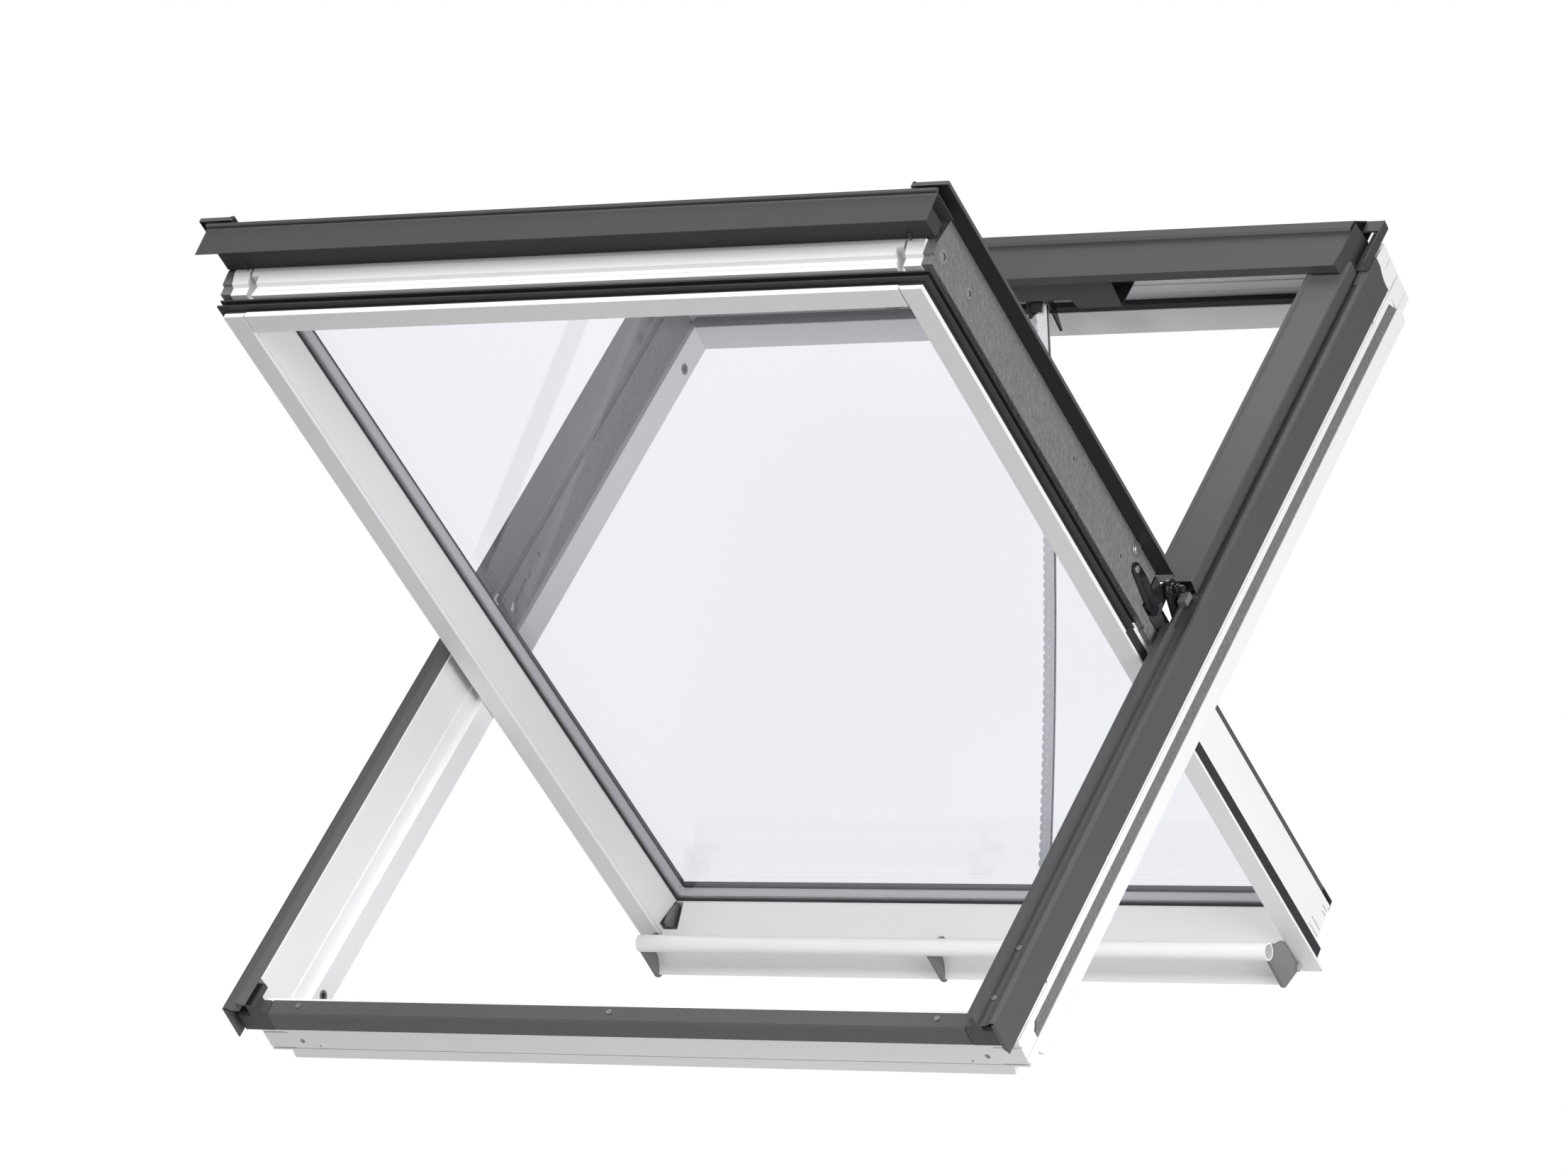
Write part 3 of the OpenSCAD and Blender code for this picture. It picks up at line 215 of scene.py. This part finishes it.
FINISHES = {
    "white_coating": finish("satin_white_coating", (0.86, 0.86, 0.865), (0.81, 0.81, 0.82), patch=6,
                            speck=900, share=0.35, rough=0.42, rough_spread=0.2, bump=0.12, depth=0.0002),
    "flap_white": finish("lacquered_white_aluminium", (0.90, 0.90, 0.905), (0.85, 0.85, 0.86), patch=8,
                         speck=1400, share=0.4, rough=0.3, bump=0.06, depth=0.0001, coat=0.25),
    "glass": pane_glass(),
    "spacer_metal": finish("mill_finish_aluminium", (0.92, 0.92, 0.93), (0.72, 0.72, 0.74), patch=20,
                           speck=600, share=0.6, rough=0.42, rough_spread=0.25, bump=0.15, metallic=0.1),
    "rubber_seal": finish("black_rubber", (0.035, 0.035, 0.038), (0.015, 0.015, 0.017), patch=15, speck=700,
                          rough=0.62, rough_spread=0.2, bump=0.2),
    "insulation_foam": finish("grey_moulded_foam", (0.25, 0.25, 0.25), (0.135, 0.135, 0.137), patch=30,
                              speck=360, share=0.75, rough=0.8, rough_spread=0.2, bump=1.0, depth=0.0022,
                              stretch=(1, 1, 0.36), turn=(0.1, 0, 0), specular=0.35),
    "grey_plastic": finish("grey_moulding", (0.2, 0.2, 0.205), (0.155, 0.155, 0.16), patch=10, speck=1100,
                           bump=0.2),
    "black_steel": finish("gloss_black_lacquer", (0.022, 0.022, 0.025), (0.008, 0.008, 0.009), patch=40,
                          speck=500, share=0.3, rough=0.2, rough_spread=0.1, bump=0.05, coat=0.8,
                          coat_rough=0.05),
    "steel": finish("zinc_plate", (0.68, 0.68, 0.69), (0.5, 0.5, 0.52), patch=60, speck=900, rough=0.32,
                    rough_spread=0.2, metallic=0.85),
    "dark_aluminium": powder_coat("dark_powder_coat", (0.100, 0.100, 0.103), (0.066, 0.066, 0.069), 0.52),
}
HOUSING = finish("speckled_dark_housing", (0.10, 0.10, 0.10), (0.02, 0.02, 0.02), patch=12, speck=700,
                 share=0.8, rough=0.6, rough_spread=0.2, bump=0.5, depth=0.0005)
# Painted shade: a darker copy of the same dark powder coat, for the top casing, its ends, the drip profile
# and the corner brackets, darker because these faces catch less light.
CASING_PAINTED_SHADE_COAT = powder_coat("powder_coat_painted_shade_casing", (0.062, 0.062, 0.064), (0.04, 0.04, 0.042), 0.55)
# Painted shade: a still darker copy of the same powder coat, for the cladding under the sash and the pivot
# bearers, where shade falls.
UNDERSIDE_PAINTED_SHADE_COAT = powder_coat("powder_coat_painted_shade_underside", (0.045, 0.045, 0.047), (0.03, 0.03, 0.031), 0.6)
PLUG_GREY = finish("light_grey_plug", (0.26, 0.26, 0.26), (0.19, 0.19, 0.19), patch=30, speck=900, rough=0.55,
                   bump=0.2)
LINK_STEEL = finish("bright_link_plate", (0.80, 0.80, 0.81), (0.62, 0.62, 0.64), patch=80, speck=900,
                    rough=0.38, rough_spread=0.2, metallic=0.3)
# Painted shade: near black for the faces of the sash's side covers that turn in under the cover, where shade
# falls.
COVER_INSIDE_PAINTED_SHADE = finish("cover_inside_painted_shade", (0.03, 0.03, 0.031), (0.018, 0.018, 0.019), patch=6, speck=900,
                share=0.6, rough=0.6, bump=0.2)
CHAIN_DARK = finish("oiled_chain_core", (0.09, 0.09, 0.09), (0.02, 0.02, 0.02), patch=60, speck=900,
                    share=0.8, rough=0.45, rough_spread=0.2, bump=0.4, metallic=0.6)
# Nodes with a finish of their own; the casing, its ends, the drip profile, the corner brackets and the under
# cladding take darker copies of the powder coat as painted shade.
OWN_FINISH_AND_PAINTED_SHADE = {"chain_actuator": HOUSING, "top_casing": CASING_PAINTED_SHADE_COAT, "top_casing_ends": CASING_PAINTED_SHADE_COAT,
              "sash_drip_profile": CASING_PAINTED_SHADE_COAT, "sash_under_cladding": UNDERSIDE_PAINTED_SHADE_COAT,
              "sash_pad_plugs": PLUG_GREY, "frame_corner_brackets": CASING_PAINTED_SHADE_COAT}


def dress(piece, material):
    """Gives a piece one finish all over."""
    piece.data.materials.clear()
    piece.data.materials.append(material)


SLOTS = {name: node.data.materials[0].name.split(".")[0] for name, node in frame["nodes"].items()}
for name, node in frame["nodes"].items():
    dressed = OWN_FINISH_AND_PAINTED_SHADE.get(name, FINISHES[SLOTS[name]])
    for index in range(len(node.data.materials)):
        node.data.materials[index] = dressed


# ---------- pieces ----------
BODIES = {node: body for body, nodes in frame["record"]["behaviour"]["bodies"].items() for node in nodes}
WELD, FLAT = 2e-6, radians(0.3)
NODE_CORNER, PART_CORNER = 28, 40


def finished(name, mesh):
    """The data of a mesh that is done, under its own name."""
    data = bpy.data.meshes.new(name)
    mesh.to_mesh(data)
    mesh.free()
    return data


def placed(name, data):
    """A mesh, lamp or camera as an object in the scene."""
    thing = bpy.data.objects.new(name, data)
    bpy.context.scene.collection.objects.link(thing)
    return thing


def as_piece(name, mesh, material, body, finish_slot):
    """A finished mesh as an object of its own that rides on a body."""
    piece = placed(name, finished(name, mesh))
    dress(piece, material)
    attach(piece, body)
    return piece


def eased(mesh, radius, corner, segments=2):
    """Rounds every edge whose faces meet at more than an angle in degrees."""
    sharp = [edge for edge in mesh.edges
             if len(edge.link_faces) == 2 and edge.calc_face_angle(0) > radians(corner)]
    bmesh.ops.bevel(mesh, geom=sharp, offset=radius * MM, affect="EDGES", segments=segments, profile=0.5,
                    material=-1, clamp_overlap=True)


def softened(node, radius, segments):
    """The node's own shape with its sharp edges rounded."""
    mesh = bmesh.new()
    mesh.from_mesh(frame["nodes"][node].data)
    bmesh.ops.remove_doubles(mesh, verts=mesh.verts, dist=WELD)
    bmesh.ops.dissolve_limit(mesh, angle_limit=FLAT, verts=mesh.verts, edges=mesh.edges)
    eased(mesh, radius, NODE_CORNER, segments)
    for face in mesh.faces:
        face.smooth = False
    material = OWN_FINISH_AND_PAINTED_SHADE.get(node, FINISHES[SLOTS[node]])
    piece = as_piece("soft_" + node, mesh, material, BODIES[node], SLOTS[node])
    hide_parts(node)
    return piece


def second_finish(piece, material, chosen):
    """Gives another finish to the faces of a piece whose direction is chosen."""
    piece.data.materials.append(material)
    for face in piece.data.polygons:
        if chosen(face.normal):
            face.material_index = 1


WHITE_MEMBERS = ["frame_side_left", "frame_side_right", "frame_top_rail", "frame_bottom_rail",
                 "lining_flanges", "sash_side_left", "sash_side_right", "sash_top_rail"]
SHEETS = ["frame_side_cladding_left", "frame_side_cladding_right", "frame_corner_plates",
          "frame_bottom_cladding", "upper_cover_left", "upper_cover_right", "top_casing",
          "sash_side_cover_left", "sash_side_cover_right", "sash_upper_cladding", "sash_top_cladding",
          "sash_bottom_cover", "sash_drip_profile", "sash_under_cladding", "flap_plate"]
MOULDED = ["frame_corner_brackets", "chain_guide", "connection_box", "chain_bracket", "flap_brackets",
           "sash_seal", "upper_side_seals"]
PRESSED = ["sash_hinge_plates", "frame_hinge_plates", "hinge_stops"]
FOAM = ["sash_side_pads", "frame_wall_pads"]
# Each row: the nodes, the radius of their edges in millimetres, and the steps of its round.
EDGES = ((WHITE_MEMBERS, 1.1, 2), (["sash_bottom_rail"], 0.35, 1), (SHEETS, 0.45, 2), (MOULDED, 0.6, 2),
         (PRESSED, 1.3, 3), (FOAM, 1.6, 2))
SOFT = {node: softened(node, radius, segments) for nodes, radius, segments in EDGES for node in nodes}
for side, hand in SIDES:
    second_finish(SOFT["sash_side_" + hand], FINISHES["dark_aluminium"], lambda way: way.dot(SASH_OUT) > 0.8)
    # The side covers' faces that turn down and inwards take the near-black painted shade.
    second_finish(SOFT["sash_side_cover_" + hand], COVER_INSIDE_PAINTED_SHADE,
                  lambda way: way.dot(SASH_OUT) < -0.5 or way.x * side < -0.5)


# ---------- the opener's chain ----------
CHAIN_TOP, CHAIN_END = on_frame(70, 633, 94.9), on_sash(81, 645.2, 50)
CHAIN_RUN = (CHAIN_END - CHAIN_TOP) / MM
CHAIN_LONG = hypot(CHAIN_RUN.y, CHAIN_RUN.z)
CHAIN_BOW = 13
DOWN = Vector((0, CHAIN_RUN.y, CHAIN_RUN.z)).normalized()
TO_ROOM = DOWN.cross(Vector((1, 0, 0)))
CHAIN_FROM, CHAIN_TO = 4, CHAIN_LONG - 6.4
PITCH, LINK_STEPS = 12.1, 8
PLATE_HALF, SHOULDER = 8.4, 3
PLATE_BACK, PLATE_FACE = 2.2, 3.3
CORE_LEFT, CORE_HALF = -4.5, 2.1
TOOTH_TIP, TOOTH_GAP, TOOTH_LONG, TOOTH_PITCH = 7.9, 6.3, 1.3, 1.9
RIVET_FOOT, RIVET_TOP, RIVET_HIGH, RIVET_ACROSS = 2.3, 1.5, 1.2, -1.5
END_MARGIN_CORE, END_MARGIN_RIVET = 2, 3


def chain_point(across, along, out):
    """A point on the chain: across it, along it from the opener, and out towards the room, in millimetres."""
    share = along / CHAIN_LONG
    bow = CHAIN_RUN.x * share + CHAIN_BOW * 4 * share * (1 - share)
    return CHAIN_TOP + (Vector((bow + across, 0, 0)) + DOWN * along + TO_ROOM * out) * MM


def chain_strip(mesh, edges, behind, front):
    """A flat bar along the chain whose left and right edges are given at each step."""
    edges = list(edges)
    last = len(edges) - 1
    back = bmesh.ops.create_grid(mesh, x_segments=last, y_segments=1, size=1)["verts"]
    for corner in back:
        along, left, right = edges[round((corner.co.x + 1) / 2 * last)]
        corner.co = chain_point(right if corner.co.y > 0 else left, along, behind)
    sheet = list(dict.fromkeys(face for corner in back for face in corner.link_faces))
    grown = bmesh.ops.extrude_face_region(mesh, geom=sheet)["geom"]
    bmesh.ops.translate(mesh, vec=TO_ROOM * (front - behind) * MM,
                        verts=[part for part in grown if isinstance(part, bmesh.types.BMVert)])


def plate_edges():
    """Link plates: round shoulders about every rivet on the left, straight on the right."""
    for step in range(int((CHAIN_TO - CHAIN_FROM) / PITCH * LINK_STEPS) + 1):
        from_rivet = abs((step / LINK_STEPS) % 1 - 0.5) * 2
        yield CHAIN_FROM + step * PITCH / LINK_STEPS, -PLATE_HALF + SHOULDER * from_rivet ** 3, PLATE_HALF


def tooth_edges():
    """The dark core between the plates, with a fine toothed right edge."""
    along, out = CHAIN_FROM, True
    while along < CHAIN_TO - END_MARGIN_CORE:
        edge = TOOTH_TIP if out else TOOTH_GAP
        yield along, CORE_LEFT, edge
        yield along + TOOTH_LONG, CORE_LEFT, edge
        along += TOOTH_PITCH
        out = not out


def rivet_heads(mesh, out, lift):
    """Round heads on one face of the plates."""
    turn = Matrix((Vector((1, 0, 0)), DOWN, TO_ROOM * lift)).transposed().to_4x4()
    along = CHAIN_FROM + PITCH / 2
    while along < CHAIN_TO - END_MARGIN_RIVET:
        place = Matrix.Translation(chain_point(RIVET_ACROSS, along, out)) @ turn
        bmesh.ops.create_cone(mesh, cap_ends=True, segments=12, radius1=RIVET_FOOT * MM,
                              radius2=RIVET_TOP * MM, depth=RIVET_HIGH * MM, matrix=place)
        along += PITCH


def push_chain():
    """Two rows of link plates with rivets, round a dark toothed core."""
    plates = bmesh.new()
    chain_strip(plates, plate_edges(), PLATE_BACK, PLATE_FACE)
    chain_strip(plates, plate_edges(), -PLATE_FACE, -PLATE_BACK)
    rivet_heads(plates, PLATE_FACE, 1)
    rivet_heads(plates, -PLATE_FACE, -1)
    core = bmesh.new()
    chain_strip(core, tooth_edges(), -CORE_HALF, CORE_HALF)
    for name, mesh, material in (("link_plates", plates, LINK_STEEL), ("chain_core", core, CHAIN_DARK)):
        bmesh.ops.recalc_face_normals(mesh, faces=mesh.faces)
        piece = as_piece(name, mesh, material, "push_chain", "steel")
        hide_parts("chain")
        tuple(CHAIN_TOP)
        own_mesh(piece)


push_chain()


# ---------- small parts at the pivots ----------
# Each round of the axle: where it starts across the window, its length, and its radius at each end.
AXLE_ROUNDS = (542.3, 4, 9, 8), (546.3, 13, 5.5, 5.5), (550.3, 2.5, 7.5, 7.5)
AXLE_EDGE = 0.7
SASH_FACE = 522.3
# Each block part: its name, body, places, slot and finish, its edges' radius, and its blocks' corners.
BLOCK_PARTS = (
    ("bearing_block_", "frame", on_frame, "grey_plastic", FINISHES["grey_plastic"], 0.8,
     [((546.5, -9, 113), (559.5, 9, 122))]),
    ("pad_end_", "sash", on_sash, "insulation_foam", FINISHES["insulation_foam"], 1.2,
     [((SASH_FACE, -23.8, 28.3), (532.4, 1, 46))]),
    ("sash_filler_", "sash", on_sash, "grey_plastic", FINISHES["grey_plastic"], 0.8,
     [((SASH_FACE, 2, 27), (530, 33, 47)), ((SASH_FACE, 9, 30), (531.5, 21, 40))]),
    # The pivot bearers take the darker powder coat with painted shade.
    ("pivot_bearer_", "sash", on_sash, "black_steel", UNDERSIDE_PAINTED_SHADE_COAT, 0.8,
     [((SASH_FACE, -19, 66), (532, 19, 98)), ((SASH_FACE, 2, 48), (531, 32, 72))]),
    ("upper_cover_cap_", "frame", on_frame, "black_steel", FINISHES["black_steel"], 0.6,
     [((538.6, 19, 113), (560.5, 22, 130))]))


def drum(mesh, side, x, width, radius, tip):
    """A round boss on the pivot's axis, across the window."""
    middle = on_frame(side * (x + width / 2), *PIVOT_ON_FRAME)
    turn = Matrix.Rotation(radians(90 * side), 4, "Y")
    bmesh.ops.create_cone(mesh, cap_ends=True, segments=40, radius1=radius * MM, radius2=tip * MM,
                          depth=width * MM, matrix=Matrix.Translation(middle) @ turn)


def block(mesh, place, low, high, side=1):
    """A rectangular block between two corners."""
    corners = [place(side * x, s, d) for x, s, d in product(*zip(low, high))]
    bmesh.ops.convex_hull(mesh, input=[mesh.verts.new(corner) for corner in corners])


def small_part(name, mesh, edge, material, body, finish_slot):
    """A small part of blocks or rounds with its edges rounded."""
    bmesh.ops.recalc_face_normals(mesh, faces=mesh.faces)
    eased(mesh, edge, PART_CORNER)
    as_piece(name, mesh, material, body, finish_slot)


def pivot_parts():
    """Axle, bearing block and cover cap on the frame, and the pad's end, fillers and bearer on the sash."""
    for side, hand in SIDES:
        axle = bmesh.new()
        for x, width, radius, tip in AXLE_ROUNDS:
            drum(axle, side, x, width, radius, tip)
        small_part("pivot_axle_" + hand, axle, AXLE_EDGE, FINISHES["black_steel"], "frame", "black_steel")
        for name, body, place, finish_slot, material, edge, blocks in BLOCK_PARTS:
            part = bmesh.new()
            for low, high in blocks:
                block(part, place, low, high, side)
            small_part(name + hand, part, edge, material, body, finish_slot)


pivot_parts()


# ---------- dark line between the panes ----------
SPACER_WIDE = 6
BEAD_HIDDEN, BEAD_SHOWN = 1, 1.3
BEAD_DEEP, BEAD_CLEAR = 2.4, 0.1


def pane_edge_bead():
    """Black sealing bead along the inner edge of the spacer, against the outer pane, all round."""
    spots = [vertex.co / MM for vertex in frame["nodes"]["glass_spacer"].data.vertices]
    start = on_sash(0, 0, 0) / MM
    along = [SASH_ALONG.dot(spot - start) for spot in spots]
    out = max(SASH_OUT.dot(spot - start) for spot in spots)
    right = max(spot.x for spot in spots) - SPACER_WIDE
    low, high = min(along) + SPACER_WIDE, max(along) - SPACER_WIDE
    ends = -right - BEAD_HIDDEN, right + BEAD_HIDDEN
    bead = bmesh.new()
    for (x_from, s_from), (x_to, s_to) in (((ends[0], low - BEAD_HIDDEN), (ends[1], low + BEAD_SHOWN)),
                                           ((ends[0], high - BEAD_SHOWN), (ends[1], high + BEAD_HIDDEN)),
                                           ((ends[0], low), (-right + BEAD_SHOWN, high)),
                                           ((right - BEAD_SHOWN, low), (ends[1], high))):
        block(bead, on_sash, (x_from, s_from, out - BEAD_DEEP), (x_to, s_to, out - BEAD_CLEAR))
    bmesh.ops.recalc_face_normals(bead, faces=bead.faces)
    as_piece("pane_edge_bead", bead, FINISHES["rubber_seal"], "sash", "rubber_seal")


pane_edge_bead()


# ---------- floor, light and camera ----------
FLOOR_RADIUS, FLOOR_DROP = 1.55, 0.32
# Each lamp: its name, place, size and watts. All of them face the middle of the window.
LAMPS = (("key", (4.4, -1.1, 0.4), 3.0, 185), ("front_above", (-0.4, -3.9, 2.7), 2.4, 190),
         ("top", (-0.5, 1.2, 3.8), 3.0, 60))
SURROUND_LIGHT, SURROUND_SEEN = 0.155, 1.0
EYE_AIM = Vector((8.263, -170.8, 103.0)) * MM
EYE_TURN, EYE_RISE, EYE_FAR = radians(32.4913), radians(-1.4988), 9.69669
SENSOR, FOCAL = 36, 172.07


def look_at(thing, aim):
    """Turns a lamp or camera towards a point."""
    thing.rotation_euler = (aim - thing.location).to_track_quat("-Z", "Y").to_euler()


def stage_disc():
    """Plain pale round floor under the window."""
    mesh = bmesh.new()
    bmesh.ops.create_circle(mesh, cap_ends=True, segments=128, radius=FLOOR_RADIUS,
                            matrix=Matrix.Translation((0, 0, cad_box[0][2] - FLOOR_DROP)))
    floor = placed("floor", finished("floor", mesh))
    dress(floor, finish("pale_floor", (0.8, 0.8, 0.8), (0.77, 0.77, 0.77), rough=0.9, bump=0.02))


def studio():
    """A white surround that lights less than it shows, with soft lamps from the right, above and in front."""
    world = bpy.data.worlds.new("white_studio")
    bpy.context.scene.world = world
    world.use_nodes = True
    nodes, link = world.node_tree.nodes, world.node_tree.links.new
    back = nodes["Background"]
    seen, level = nodes.new("ShaderNodeLightPath"), nodes.new("ShaderNodeMapRange")
    level.inputs["To Min"].default_value = SURROUND_LIGHT
    level.inputs["To Max"].default_value = SURROUND_SEEN
    link(seen.outputs["Is Camera Ray"], level.inputs["Value"])
    link(level.outputs["Result"], back.inputs["Strength"])
    back.inputs["Color"].default_value = (1, 1, 1, 1)
    for name, place, size, watts in LAMPS:
        lamp = bpy.data.lights.new(name, "AREA")
        lamp.shape, lamp.size, lamp.energy = "SQUARE", size, watts
        softbox = placed(name, lamp)
        softbox.location = place
        look_at(softbox, Vector((0, 0, 0)))
    bpy.context.scene.view_settings.view_transform = "Standard"


def camera():
    """A long lens from the front right, a little below the window's middle."""
    lens = bpy.data.cameras.new("camera")
    lens.sensor_width, lens.lens = SENSOR, FOCAL
    eye = placed("camera", lens)
    away = Vector((sin(EYE_TURN) * cos(EYE_RISE), -cos(EYE_TURN) * cos(EYE_RISE), sin(EYE_RISE)))
    eye.location = EYE_AIM + away * EYE_FAR
    look_at(eye, EYE_AIM)
    bpy.context.scene.camera = eye


stage_disc()
studio()
camera()
